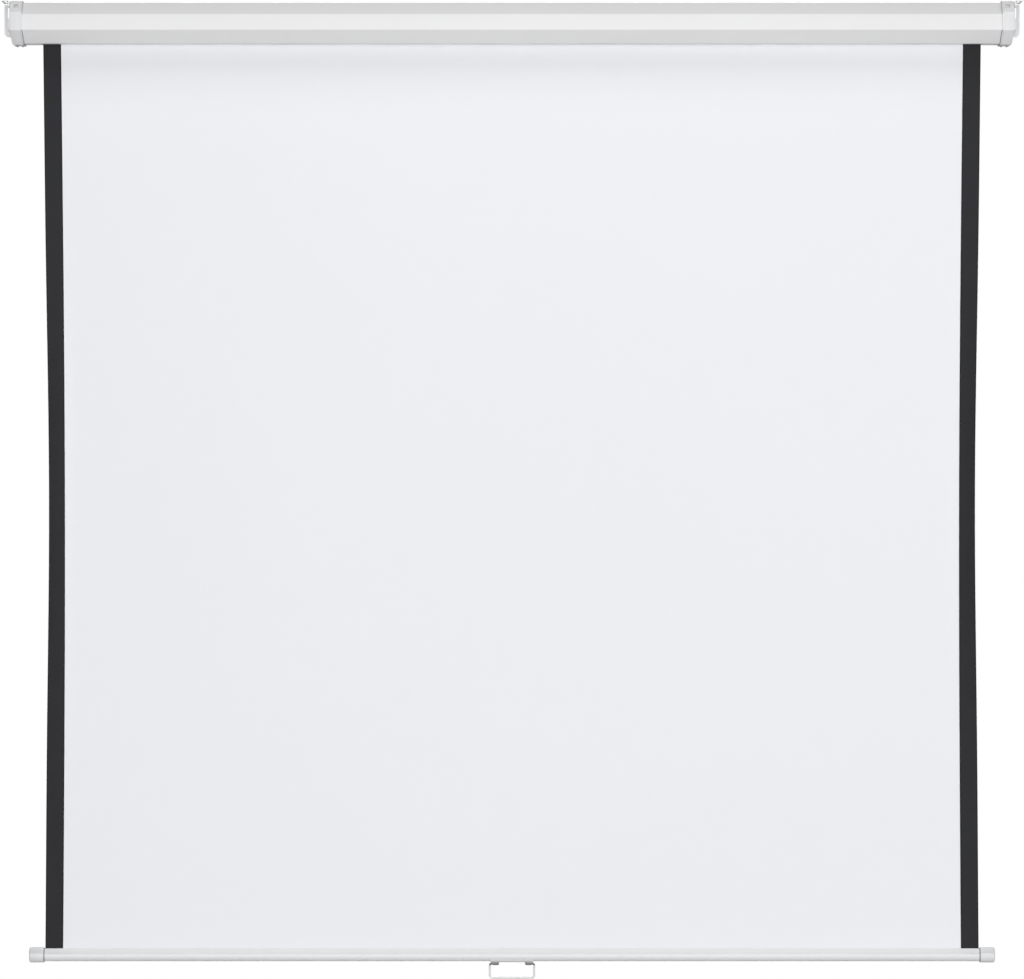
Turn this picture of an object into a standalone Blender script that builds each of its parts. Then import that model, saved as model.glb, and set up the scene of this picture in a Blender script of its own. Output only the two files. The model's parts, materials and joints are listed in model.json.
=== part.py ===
"""A pull-down projector screen, hung from a wall or a ceiling and drawn fully open.

Frame: X runs across the screen, -Y points out of the wall towards the audience, and Z is up. The
origin is the centre of the casing's flat back. All lengths are in metres.
"""

import math

import bmesh
import bpy
from mathutils import Matrix, Vector

# Fits
SEAT = 0.0003  # air between two pieces that sit on or in each other
BITE = 0.0006  # how far a rib is sunk in the wall that it grows from

# Screen sheet
FABRIC_WIDTH = 1.500
FABRIC_THICKNESS = 0.0004
BORDER_WIDTH = 0.0285
BORDER_THICKNESS = 0.0003
DROP = 1.4784  # from the roller's axis to the top of the bottom bar
HEM_NARROWING = 0.0035  # the hem is this much narrower on each side
WAIST = 0.0045  # the tensioned sheet necks in by this at half height, on each side
CURL_BAND = 0.045  # the strip along each edge that curls towards the audience
CURL_ANGLE = math.radians(45)  # slope of the very edge at half height
DROP_STEPS = 20
BORDER_STEPS = 3  # cells across the border tape
CURL_STEPS = 2  # cells from the tape to the end of the curl
LOOP_STEPS = 9
LOOP_TAIL = math.radians(10)  # the loop stops this far before it closes

# Casing
END_ROOM = 0.050  # from the sheet's edge to the outside of the end cap
CASE_HEIGHT = 0.065
CASE_DEPTH = 0.052
CASE_CHAMFER = 0.020
CASE_WALL = 0.0012
CASE_CORNER = 0.0020
SLOT_WIDTH = 0.015
HEM_RISE = 0.004

# Screw ports inside the casing, and the screws that hold the end caps
SHANK_RADIUS = 0.0019
HEAD_RADIUS = 0.0034
HEAD_HEIGHT = 0.0018
PORT_WALL = 0.0014
PORT_MOUTH = math.radians(60)
SCREW_GRIP = 0.010

# End caps
CAP_SLEEVE = 0.0205  # how far the sleeve reaches over the casing
CAP_WALL = 0.003
CAP_PROUD_BOTTOM = 0.0015
CAP_PROUD_FRONT = 0.0020
CAP_PROUD_BROW = 0.0040  # the upper chamfer is thick, for the facet screw
CAP_PROUD_TOP = 0.0025
CAP_CORNER = 0.0015
CAP_TAPER = 0.0030  # the end wall leans in by this at the bottom
RIM_LEAN = 0.0018  # and the inner rim by this
RIM_BEAD = 0.0004
RIM_EDGE = 0.0012  # the chamfer round the sleeve's mouth
RIM_BEAD_WIDTH = 0.0030
CAP_EDGE = 0.0010
RIB_RADIUS = 0.0032
RIB_STAND = 0.0016
RIB_PITCH = 0.0088
RIB_INSET = 0.0050  # from the end wall's foot to the first rib's middle
RIB_BACK = 0.0020
RIB_LENGTH = 0.0270
FACET_HOLE_DEPTH = 0.010
CAVITY_MARGIN = 0.0020  # how far the cavity cutter runs past the open sides
BOSS_RADIUS = 0.0090
BOSS_DEPTH = 0.010
FACET_HEAD_RADIUS = 0.0041
FACET_SHANK_RADIUS = 0.0017
FACET_SCREW_LENGTH = 0.0085
CAP_FLOOR = 0.0015  # left under the sunken screw head

# Hanger brackets
BRACKET_SHEET = 0.0015
BRACKET_BEND = 0.0028
BRACKET_REACH = 0.013  # how far the ears stand out from the end cap
BRACKET_DEPTH = 0.050
BRACKET_BELOW = 0.0195  # reach of the wall ear below the casing's middle
BRACKET_THROAT = 0.0075  # how much of the side plate each bent ear brings along
BRACKET_ARM = 0.0105  # height of the arm that carries the ceiling ear and takes two cap screws
BRACKET_CORNER = 0.0020
NOTCH_BACK = 0.014  # the side plate is notched under the arm, from its front edge back to here
TONGUE_TOP = 0.0053  # the tongue under the notch: its reach above the casing's middle
TONGUE_FOOT = 0.012  # and below it
BRACKET_FOOT = 0.014  # width left at the plate's foot
EAR_CUT = 0.0045
WALL_SLOT_WIDTH = 0.0048
WALL_SLOT_LENGTH = 0.018
WALL_SLOT_INSET = 0.0052  # from the bracket's side to the middle of the slot
WALL_SLOT_DROP = 0.016  # from the bracket's top to the middle of the slot
WALL_HOLE = 0.0036
WALL_HOLE_INSET = 0.0044
WALL_HOLE_RISE = 0.0075  # from the wall ear's foot to its round hole
CEILING_SLOT_WIDTH = 0.0056
CEILING_SLOT_LENGTH = 0.036
CEILING_SLOT_INSET = 0.0073
CEILING_SLOT_FORWARD = 0.0285

# Roller
ROLLER_FORWARD = 0.001  # the axis is this far in front of the casing's middle
TUBE_RADIUS = 0.015
TUBE_WALL = 0.0010
TUBE_OVERHANG = 0.012
WRAP_THICKNESS = 0.0007
FLANGE_LIP = 0.0030
FLANGE_THICKNESS = 0.005
PLUG_DEPTH = 0.017
SHAFT_RADIUS = 0.0035
TONGUE_THICKNESS = 0.003
TONGUE_BITE = 0.008  # depth of the tongue in its socket
IDLER_RADIUS = 0.0040
BUSH_WALL = 0.0022
BUSH_LIP = 0.0015
BUSH_LIP_THICKNESS = 0.001

# Spring, inside the tube
SPRING_SEAT_THICKNESS = 0.008
SPRING_SEAT_RADIUS = 0.0120
SPRING_INSET = 0.018  # from the carrier plug to the spring's fixed seat
SPRING_LENGTH = 0.264
SPRING_RADIUS = 0.0100
SPRING_WIRE = 0.0010
SPRING_TURNS = 30
SPRING_POINTS = 8
DRIVE_PLUG_LENGTH = 0.028

# Lock
TEETH = 4
RATCHET_TIP = 0.0078
RATCHET_ROOT = 0.0056
RATCHET_THICKNESS = 0.004
PAWL_THICKNESS = 0.003
PAWL_PIVOT_RADIUS = 0.014
PAWL_LENGTH = 0.01073
PAWL_EYE = 0.0028
PAWL_NOSE = 0.0012
PAWL_RUNNING_GAP = 0.0004
PAWL_ENGAGE = math.radians(9)  # turn of a pawl from the drawn place into a notch
PAWL_ARC_STEPS = 10
TOOTH_STEPS = 8
TOOTH_SHARE = 0.995  # part of a tooth's turn that the long flank takes
PAWL_AZIMUTHS = (math.radians(35), math.radians(215))
PIN_RADIUS = 0.0015
PIN_HEAD_RADIUS = 0.0024
PIN_HEAD_HEIGHT = 0.001
PIN_SINK = 0.0035

# Bottom bar
BAR_RADIUS = 0.0085
BAR_RISE = 0.0118  # from the round's centre to the flat top
BAR_CREASE = 0.0038  # from the round's centre to the crease
BAR_SHOULDER = 0.0006  # the round stands proud of the flat band by this at the crease
BAR_TOP_HALF = 0.0022
BAR_WALL = 0.0010
BAR_SLOT = 0.0024
BAR_ROUND_STEPS = 18
ROD_RADIUS = 0.0020
BAR_CAP_LENGTH = 0.0245
BAR_CAP_PROUD = 0.0020
BAR_CAP_WALL = 0.0026
BAR_CAP_EDGE = 0.0024
BAR_CAP_PLUG = 0.012
BAR_CAP_NECK = 0.0013  # a thin neck at the cap's mouth, before the cap steps up
BAR_CAP_NECK_PROUD = 0.0009

# Pull handle
PLATE_LENGTH = 0.069
PLATE_SHEET = 0.0012
PLATE_WRAP = math.radians(48)
BARREL_WALL = 0.0008
BARREL_INSIDE = 0.0208
BARREL_OUTSIDE = 0.0322
BARREL_FLARE = 0.0011  # a barrel is this much longer at its top, at each end
BARREL_SIDES = 24
WIRE_RADIUS = 0.00165
BAIL_WIDTH = 0.074
BAIL_BEND = 0.0032
BAIL_CORNER = 0.0040
BAIL_REACH = 0.0282  # from the bar's lowest line to the bail's
RIVET_SPACING = 0.020
RIVET_SHANK = 0.0014
RIVET_HEAD = 0.0022
RIVET_SINK = 0.0008  # depth of the countersunk head, which is flush with the plate
RIVET_DOME = 0.0010
RIVET_TAIL = 0.0021

ROUND = 32  # sides of the larger round pieces
SMALL_ROUND = 20  # sides of pins, screws and holes

# Places that follow from the sizes
HALF_WIDTH = FABRIC_WIDTH / 2 + END_ROOM
HALF_HEIGHT = CASE_HEIGHT / 2
ROLLER_Y = -CASE_DEPTH / 2 - ROLLER_FORWARD
WRAP_INNER = TUBE_RADIUS + SEAT
WRAP_OUTER = WRAP_INNER + WRAP_THICKNESS
FABRIC_Y = ROLLER_Y + WRAP_OUTER + SEAT + FABRIC_THICKNESS / 2
CAP_INSIDE = HALF_WIDTH - CAP_WALL
CASE_END = CAP_INSIDE - CAP_TAPER - SEAT
TUBE_END = FABRIC_WIDTH / 2 + TUBE_OVERHANG
FLANGE_NEAR = TUBE_END + SEAT
FLANGE_FAR = FLANGE_NEAR + FLANGE_THICKNESS
FLANGE_RADIUS = TUBE_RADIUS + FLANGE_LIP
PLUG_RADIUS = TUBE_RADIUS - TUBE_WALL - SEAT
BORE_RADIUS = SHAFT_RADIUS + SEAT
BOSS_FACE = CAP_INSIDE - BOSS_DEPTH
TONGUE_HALF = math.sqrt((SHAFT_RADIUS * math.cos(math.pi / ROUND)) ** 2 - (TONGUE_THICKNESS / 2) ** 2)
TONGUE_END = BOSS_FACE + TONGUE_BITE
PORT_BORE = SHANK_RADIUS + SEAT
PORT_RADIUS = PORT_BORE + PORT_WALL
PORT_Z = HALF_HEIGHT - CASE_WALL - PORT_RADIUS + BITE
PORT_REAR_Y = -(BRACKET_SHEET + HEAD_RADIUS + 4 * SEAT)
PORT_FRONT_Y = CASE_CHAMFER - CASE_DEPTH + PORT_RADIUS + SEAT
PORTS = ((PORT_REAR_Y, PORT_Z), (PORT_FRONT_Y, PORT_Z), (PORT_FRONT_Y, -PORT_Z))
BRACKET_NEAR = HALF_WIDTH + SEAT
BRACKET_FAR = HALF_WIDTH + BRACKET_REACH
BRACKET_TOP = HALF_HEIGHT + CAP_PROUD_TOP
BAR_Z = -DROP - BAR_RISE
BAR_CAP_INNER = FABRIC_WIDTH / 2 - HEM_NARROWING + 0.0010
BAR_CAP_OUTER = BAR_CAP_INNER + BAR_CAP_LENGTH
BAR_END = BAR_CAP_OUTER - BAR_CAP_WALL - SEAT
LOOP_RADIUS = ROD_RADIUS + SEAT + FABRIC_THICKNESS / 2
BARREL_BORE = WIRE_RADIUS + SEAT
BARREL_RADIUS = BARREL_BORE + BARREL_WALL
PIVOT_DROP = BAR_RADIUS + SEAT + PLATE_SHEET / 2 + BARREL_RADIUS


# Flat outlines

def offset_path(points, distance, closed=False):
    """Moves a path of 2-D points to its left by a distance, keeping its corners mitred."""
    points = [Vector(p) for p in points]
    count = len(points)
    moved = []
    for i, point in enumerate(points):
        before = points[i - 1] if closed or i else None
        after = points[(i + 1) % count] if closed or i < count - 1 else None
        ways = []
        if before is not None:
            ways.append((point - before).normalized())
        if after is not None:
            ways.append((after - point).normalized())
        normals = [Vector((-way.y, way.x)) for way in ways]
        middle = sum(normals, Vector((0, 0))).normalized()
        moved.append(point + middle * distance / middle.dot(normals[0]))
    return moved


def rounded_path(points, radius, closed=False, steps=4):
    """Replaces each corner of a path of 2-D points by an arc of the radius, as far as it fits."""
    points = [Vector(p) for p in points]
    count = len(points)
    found = []
    for i, corner in enumerate(points):
        if not closed and i in (0, count - 1):
            found.append(corner)
            continue
        back = points[i - 1] - corner
        ahead = points[(i + 1) % count] - corner
        half = (math.pi - back.angle(ahead)) / 2
        reach = min(radius * math.tan(half), 0.45 * back.length, 0.45 * ahead.length)
        start = corner + back.normalized() * reach
        end = corner + ahead.normalized() * reach
        for k in range(steps + 1):
            t = k / steps
            found.append(start * (1 - t) ** 2 + corner * 2 * t * (1 - t) + end * t**2)
    return found


def circle_points(radius, sides, centre=(0, 0)):
    """Points of a circle in the plane, anticlockwise."""
    turns = [2 * math.pi * k / sides for k in range(sides)]
    return [(centre[0] + radius * math.cos(a), centre[1] + radius * math.sin(a)) for a in turns]


# Solids

def loft(rings, closed=False):
    """Joins rings of equally many points by quads, and closes the two ends unless it is a loop."""
    bm = bmesh.new()
    loops = [[bm.verts.new(point) for point in ring] for ring in rings]
    following = loops[1:] + loops[:1] if closed else loops[1:]
    for near, far in zip(loops, following):
        for i in range(len(near)):
            j = (i + 1) % len(near)
            bm.faces.new((near[i], near[j], far[j], far[i]))
    if not closed:
        bm.faces.new(loops[0])
        bm.faces.new(loops[-1][::-1])
    return bm


def prism(outline, x0, x1):
    """An outline of (y, z) extruded along X."""
    return loft([[(x, y, z) for y, z in outline] for x in (x0, x1)])


def strip_prism(path, wall, radius, x0, x1):
    """A bent sheet: a path of (y, z), thickened to its left and extruded along X."""
    outer = rounded_path(path, radius)
    inner = rounded_path(offset_path(path, wall), max(radius - wall, wall / 5))
    return loft([
        [(x0, *a), (x1, *a), (x1, *b), (x0, *b)] for a, b in zip(outer, inner)
    ])


def turned(profile, sides=ROUND, closed=False):
    """A profile of (x, radius) turned about the X axis; a closed profile leaves a bore."""
    return loft([[(x, *p) for p in circle_points(r, sides)] for x, r in profile], closed)


def tube(x0, x1, outer, inner, sides=ROUND):
    """A plain tube along X."""
    return turned([(x0, outer), (x1, outer), (x1, inner), (x0, inner)], sides, closed=True)


def box(low, high):
    """A box between two corners."""
    corners = [(low[0], low[1]), (high[0], low[1]), (high[0], high[1]), (low[0], high[1])]
    return loft([[(x, y, z) for x, y in corners] for z in (low[2], high[2])])


def slab(front, back):
    """A thin sheet between two equal grids of points, all cut along the same diagonal."""
    bm = bmesh.new()
    faces = [[[bm.verts.new(p) for p in row] for row in grid] for grid in (front, back)]
    rows, columns = len(front), len(front[0])
    for grid in faces:
        for i in range(rows - 1):
            for j in range(columns - 1):
                bm.faces.new((grid[i][j], grid[i][j + 1], grid[i + 1][j + 1]))
                bm.faces.new((grid[i][j], grid[i + 1][j + 1], grid[i + 1][j]))
    ahead, behind = faces
    for i in range(rows - 1):
        for j in (0, columns - 1):
            bm.faces.new((ahead[i][j], ahead[i + 1][j], behind[i + 1][j], behind[i][j]))
    for j in range(columns - 1):
        for i in (0, rows - 1):
            bm.faces.new((ahead[i][j], ahead[i][j + 1], behind[i][j + 1], behind[i][j]))
    return bm


# Objects

def finish(name, colour, roughness, metallic=0.0):
    """A plain material with the real surface's colour, roughness and metallic value."""
    material = bpy.data.materials.new(name)
    material.use_nodes = True
    shader = material.node_tree.nodes["Principled BSDF"]
    shader.inputs["Base Color"].default_value = (*colour, 1)
    shader.inputs["Roughness"].default_value = roughness
    shader.inputs["Metallic"].default_value = metallic
    material.diffuse_color = (*colour, 1)
    return material


def frame_at(name, location, parent=None):
    """An empty that carries the pieces of one moving group."""
    empty = bpy.data.objects.new(name, None)
    empty.empty_display_size = 0.02
    empty.location = location
    empty.parent = parent
    bpy.context.collection.objects.link(empty)
    return empty


def add(name, bm, material=None, parent=None, place=None):
    """Makes an object of a bmesh, shaded smooth between its sharp edges."""
    bmesh.ops.recalc_face_normals(bm, faces=bm.faces)
    mesh = bpy.data.meshes.new(name)
    bm.to_mesh(mesh)
    bm.free()
    mesh.shade_smooth()
    mesh.set_sharp_from_angle(angle=math.radians(32))
    if material:
        mesh.materials.append(material)
    obj = bpy.data.objects.new(name, mesh)
    obj.parent = parent
    if place is not None:
        obj.matrix_local = place
    bpy.context.collection.objects.link(obj)
    return obj


def shape_by(target, operation, name, bm, place=None):
    """Cuts a tool out of the target, or fuses it on, and keeps the tool as a hidden guide."""
    tool = add(f"{target.name}.{name}", bm, parent=target.parent, place=place)
    tool.hide_render = True
    tool.display_type = "WIRE"
    modifier = target.modifiers.new(name, "BOOLEAN")
    modifier.operation = operation
    modifier.solver = "EXACT"
    modifier.object = tool


def cut(target, name, bm, place=None):
    shape_by(target, "DIFFERENCE", name, bm, place)


def fuse(target, name, bm, place=None):
    shape_by(target, "UNION", name, bm, place)


def along(direction, location):
    """A placement whose X axis points along the direction."""
    turn = Vector(direction).to_track_quat("X", "Z").to_matrix().to_4x4()
    return Matrix.Translation(location) @ turn


def pan_screw(name, material, parent, place, head, height, shank, length):
    """A pan-head screw with a cross recess; its head points along the placement's X axis."""
    profile = [
        (-length, shank * 0.4), (-length + shank, shank), (0, shank), (0, head),
        (height * 0.45, head), (height * 0.8, head * 0.86), (height, head * 0.6),
    ]
    obj = add(name, turned(profile, SMALL_ROUND), material, parent, place)
    arm = head * 0.58
    half = head * 0.11
    cross = [
        (half, half), (half, arm), (-half, arm), (-half, half), (-arm, half), (-arm, -half),
        (-half, -half), (-half, -arm), (half, -arm), (half, -half), (arm, -half), (arm, half),
    ]
    cut(obj, "recess", prism(cross, height * 0.45, height * 1.5), place)
    return obj


# Casing

def port_path(radius, centre, up):
    """A C-shaped arc round a screw port, open towards the casing's middle."""
    gap = PORT_MOUTH / 2
    steps = SMALL_ROUND
    start = math.pi / 2 if up else -math.pi / 2
    turns = [start + gap + (2 * math.pi - 2 * gap) * k / steps for k in range(steps + 1)]
    return [(centre[0] + radius * math.cos(a), centre[1] + radius * math.sin(a)) for a in turns]


def make_casing(material):
    """The extruded casing: a chamfered section, open along its floor, with three screw ports."""
    rear_lip = FABRIC_Y + SLOT_WIDTH / 2
    front_lip = FABRIC_Y - SLOT_WIDTH / 2
    shoulder = CASE_CHAMFER - CASE_DEPTH
    brow = HALF_HEIGHT - CASE_CHAMFER
    path = [
        (rear_lip, -HALF_HEIGHT), (0, -HALF_HEIGHT), (0, HALF_HEIGHT), (shoulder, HALF_HEIGHT),
        (-CASE_DEPTH, brow), (-CASE_DEPTH, -brow), (shoulder, -HALF_HEIGHT),
        (front_lip, -HALF_HEIGHT), (front_lip, -HALF_HEIGHT + HEM_RISE),
    ]
    skin = strip_prism(path, CASE_WALL, CASE_CORNER, -CASE_END, CASE_END)
    casing = add("casing", skin, material)
    for k, (y, z) in enumerate(PORTS):
        outer = port_path(PORT_RADIUS, (y, z), up=z < 0)
        inner = port_path(PORT_BORE, (y, z), up=z < 0)
        rings = [
            [(-CASE_END, *a), (CASE_END, *a), (CASE_END, *b), (-CASE_END, *b)]
            for a, b in zip(outer, inner)
        ]
        fuse(casing, f"port_{k + 1}", loft(rings))
    for side in (-1, 1):
        cut(casing, f"facet_hole_{side + 2}", facet_hole(), along((0, -1, 1), facet_centre(side)))
    return casing


# End caps

def cap_outline(grow=0.0, corner=CAP_CORNER, casing_fit=False):
    """The end cap's section, from its back bottom corner forwards; or the hole for the casing."""
    proud = (CAP_PROUD_BOTTOM, CAP_PROUD_FRONT, CAP_PROUD_FRONT, CAP_PROUD_BROW, CAP_PROUD_TOP)
    if casing_fit:
        proud = (0,) * 5
        corner = CASE_CORNER
    bottom, jaw, front, brow, top = (p + grow for p in proud)
    slant = math.sqrt(2)
    # the 45 degree lines are z = -y - reach_low and z = y + reach_high
    reach_low = CASE_DEPTH + HALF_HEIGHT - CASE_CHAMFER + slant * jaw
    reach_high = CASE_DEPTH + HALF_HEIGHT - CASE_CHAMFER + slant * brow
    floor = -HALF_HEIGHT - bottom
    roof = HALF_HEIGHT + top
    face = -CASE_DEPTH - front
    corners = [
        (0, floor), (-floor - reach_low, floor), (face, -face - reach_low),
        (face, face + reach_high), (roof - reach_high, roof), (0, roof),
    ]
    path = rounded_path(corners, corner + grow, steps=3)
    hinge = taper_start()
    low = [p for p in path if p[1] < hinge]
    high = [p for p in path if p[1] >= hinge]
    return low + [(face, hinge)] + high + [(0, hinge)]


def taper_start():
    """The height below which the end wall leans in: just above the lower front corner."""
    corner = max(CAP_CORNER, CASE_CORNER) * math.tan(math.pi / 8)
    return CASE_CHAMFER - HALF_HEIGHT + corner + 2 * SEAT


def lean(z):
    """How far down the leaning part of the end wall a height is, from 0 to 1."""
    hinge = taper_start()
    return max(0.0, (hinge - z) / (hinge + HALF_HEIGHT + CAP_PROUD_BOTTOM))


def split_ends(bm, outline, hinge):
    """Splits the two end faces along the line where the end wall starts to lean."""
    count = len(outline)
    front = next(i for i, p in enumerate(outline) if p[1] == hinge)
    bm.verts.ensure_lookup_table()
    last = len(bm.verts) - count
    for first in (0, last):
        ends = (bm.verts[first + front], bm.verts[first + count - 1])
        shared = set(ends[0].link_faces) & set(ends[1].link_faces)
        for face in shared:
            bmesh.utils.face_split(face, *ends)
    return bm


def cap_body(side):
    """The outside of an end cap: a sleeve with a raised rim and a rounded, leaning end wall."""
    rim = HALF_WIDTH - CAP_SLEEVE
    stations = [
        (rim, RIM_LEAN, RIM_BEAD - RIM_EDGE), (rim + RIM_EDGE, RIM_LEAN, RIM_BEAD),
        (rim + RIM_BEAD_WIDTH, RIM_LEAN, RIM_BEAD),
        (rim + RIM_BEAD_WIDTH + RIM_BEAD, RIM_LEAN, 0),
        (HALF_WIDTH - CAP_EDGE, CAP_TAPER, 0),
        (HALF_WIDTH - CAP_EDGE * 0.3, CAP_TAPER, -CAP_EDGE * 0.3),
        (HALF_WIDTH, CAP_TAPER, -CAP_EDGE),
    ]
    rings = []
    for x, drop, grow in stations:
        outline = cap_outline(grow)
        rings.append([(side * (x - drop * lean(z)), y, z) for y, z in outline])
    return split_ends(loft(rings), cap_outline(), taper_start())


def cap_cavity(side):
    """The space in an end cap that holds the casing, following the end wall's lean."""
    outline = cap_outline(SEAT, casing_fit=True)
    rim = HALF_WIDTH - CAP_SLEEVE - RIM_LEAN - CAVITY_MARGIN
    rings = []
    for x, drop in ((rim, 0), (CAP_INSIDE, CAP_TAPER)):
        ring = [(side * (x - drop * lean(z)), y + (CAVITY_MARGIN if y > -SEAT else 0), z)
                for y, z in outline]
        rings.append(ring)
    return split_ends(loft(rings), outline, taper_start())


def facet_centre(side):
    """The middle of an end cap's upper chamfer, where the facet screw goes."""
    face = -CASE_DEPTH - CAP_PROUD_FRONT
    roof = HALF_HEIGHT + CAP_PROUD_TOP
    reach = CASE_DEPTH + HALF_HEIGHT - CASE_CHAMFER + math.sqrt(2) * CAP_PROUD_BROW
    middle = HALF_WIDTH - CAP_SLEEVE / 2
    return Vector((side * middle, (face + roof - reach) / 2, (face + roof + reach) / 2))


def facet_hole():
    """The cutter for the facet screw's shank."""
    radius = FACET_SHANK_RADIUS + SEAT
    return turned([(-FACET_HOLE_DEPTH, radius), (FACET_HOLE_DEPTH, radius)], SMALL_ROUND)


def make_end_cap(side, label, material):
    """A moulded end cap: sleeve, end wall, roller boss, ribs below and screw holes."""
    cap = add(f"end_cap_{label}", cap_body(side), material)
    floor = -HALF_HEIGHT - CAP_PROUD_BOTTOM
    for k in range(2):
        x = side * (HALF_WIDTH - CAP_TAPER - RIB_INSET - k * RIB_PITCH)
        rib = turned([(0, RIB_RADIUS), (RIB_LENGTH, RIB_RADIUS)], SMALL_ROUND)
        fuse(cap, f"rib_{k + 1}", rib, along((0, -1, 0), (x, -RIB_BACK, floor + RIB_RADIUS - RIB_STAND)))
    cut(cap, "cavity", cap_cavity(side))
    inner, outer = sorted((side * BOSS_FACE, side * (CAP_INSIDE + CAP_WALL / 2)))
    boss_place = Matrix.Translation((0, ROLLER_Y, 0))
    fuse(cap, "boss", turned([(inner, BOSS_RADIUS), (outer, BOSS_RADIUS)]), boss_place)
    for k, (y, z) in enumerate(PORTS):
        hole = circle_points(PORT_BORE, SMALL_ROUND, (y, z))
        cut(cap, f"screw_hole_{k + 1}", prism(hole, side * CASE_END, side * (HALF_WIDTH + CAP_WALL)))
    y, z = PORTS[-1]
    sink = circle_points(HEAD_RADIUS + SEAT, SMALL_ROUND, (y, z))
    cut(cap, "head_sink", prism(sink, side * cap_seat(), side * (HALF_WIDTH + CAP_WALL)))
    cut(cap, "facet_hole", facet_hole(), along((0, -1, 1), facet_centre(side)))
    return cap


def cap_seat():
    """Where the sunken screw head sits, on the leaning part of the end wall."""
    return CAP_INSIDE - CAP_TAPER * lean(PORTS[-1][1]) + CAP_FLOOR


def make_end_screws(side, label, material):
    """Two screws that hold the bracket and the cap, one sunk in the cap, and the facet screw."""
    over_bracket = BRACKET_NEAR + BRACKET_SHEET + SEAT
    seats = (over_bracket, over_bracket, cap_seat() + SEAT)
    for k, (seat, (y, z)) in enumerate(zip(seats, PORTS)):
        place = along((side, 0, 0), (side * seat, y, z))
        pan_screw(f"cap_screw_{label}_{k + 1}", material, None, place, HEAD_RADIUS, HEAD_HEIGHT,
                  SHANK_RADIUS, seat - CASE_END + SCREW_GRIP)
    outward = Vector((0, -1, 1)).normalized()
    place = along(outward, facet_centre(side) + outward * SEAT)
    pan_screw(f"facet_screw_{label}", material, None, place, FACET_HEAD_RADIUS, HEAD_HEIGHT,
              FACET_SHANK_RADIUS, FACET_SCREW_LENGTH)


# Hanger brackets

def long_hole(length, width):
    """A cutter with round ends: its length lies along Y and it runs along X."""
    straight = (length - width) / 2
    arc = [math.pi * k / 8 for k in range(9)]
    upper = [(straight + width / 2 * math.sin(a), width / 2 * math.cos(a)) for a in arc]
    lower = [(-y, -z) for y, z in upper]
    outline = upper + lower if straight > 0 else circle_points(width / 2, SMALL_ROUND)
    return prism(outline, -BRACKET_THROAT, BRACKET_THROAT)


def bent_ear(path, place, start, end):
    """An L of sheet metal with a rounded bend, extruded between two stations."""
    outer = rounded_path(path, BRACKET_BEND)
    inner = rounded_path(offset_path(path, -BRACKET_SHEET), BRACKET_BEND - BRACKET_SHEET)
    return loft([
        [place(*a, start), place(*a, end), place(*b, end), place(*b, start)]
        for a, b in zip(outer, inner)
    ])


def make_bracket(side, label, material):
    """A bent steel bracket: a notched side plate, and a slotted ear for the wall and the ceiling."""
    near, far, top = BRACKET_NEAR, BRACKET_FAR, BRACKET_TOP
    lowest = -BRACKET_BELOW
    arm_foot = top - BRACKET_ARM
    front = [
        (-BRACKET_DEPTH, top - BRACKET_BEND), (-BRACKET_DEPTH, arm_foot), (-NOTCH_BACK, arm_foot),
        (-NOTCH_BACK, TONGUE_TOP), (-BRACKET_DEPTH, TONGUE_TOP), (-BRACKET_DEPTH, -TONGUE_FOOT),
        (-BRACKET_FOOT, lowest), (-BRACKET_BEND, lowest),
    ]
    outline = [(-BRACKET_BEND, top - BRACKET_BEND)] + rounded_path(front, BRACKET_CORNER)
    plate = prism(outline, side * near, side * (near + BRACKET_SHEET))
    bracket = add(f"hanger_bracket_{label}", plate, material)
    # the two bends stop short of each other, which leaves a relief notch in the corner
    wall_path = [(near, -BRACKET_THROAT), (near, 0), (far, 0)]
    fuse(bracket, "wall_ear",
         bent_ear(wall_path, lambda x, y, z: (side * x, y, z), lowest, top - BRACKET_BEND))
    roof_path = [(near, top - BRACKET_THROAT), (near, top), (far, top)]
    fuse(bracket, "ceiling_ear",
         bent_ear(roof_path, lambda x, z, y: (side * x, y, z), -BRACKET_DEPTH, -BRACKET_BEND))

    corner = turned([(-BRACKET_THROAT, EAR_CUT), (BRACKET_THROAT, EAR_CUT)], 4)
    cut(bracket, "ear_corner", corner, along((0, 1, 0), (side * far, 0, lowest)))
    upright = Matrix(((0, 0, 1, 0), (1, 0, 0, 0), (0, 1, 0, 0), (0, 0, 0, 1)))
    for name, length, width, inset, z in (
        ("wall_slot", WALL_SLOT_LENGTH, WALL_SLOT_WIDTH, WALL_SLOT_INSET, top - WALL_SLOT_DROP),
        ("wall_hole", WALL_HOLE, WALL_HOLE, WALL_HOLE_INSET, lowest + WALL_HOLE_RISE),
    ):
        place = Matrix.Translation((side * (near + inset), 0, z))
        cut(bracket, name, long_hole(length, width), place @ upright)
    ceiling = (side * (near + CEILING_SLOT_INSET), -CEILING_SLOT_FORWARD, top)
    cut(bracket, "ceiling_slot", long_hole(CEILING_SLOT_LENGTH, CEILING_SLOT_WIDTH),
        Matrix.Translation(ceiling) @ Matrix.Rotation(math.pi / 2, 4, "Y"))
    for k, (y, z) in enumerate(PORTS[:2]):
        hole = circle_points(PORT_BORE, SMALL_ROUND, (y, z))
        cut(bracket, f"screw_hole_{k + 1}", prism(hole, side * CASE_END, side * far))
    return bracket


# Roller

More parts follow.
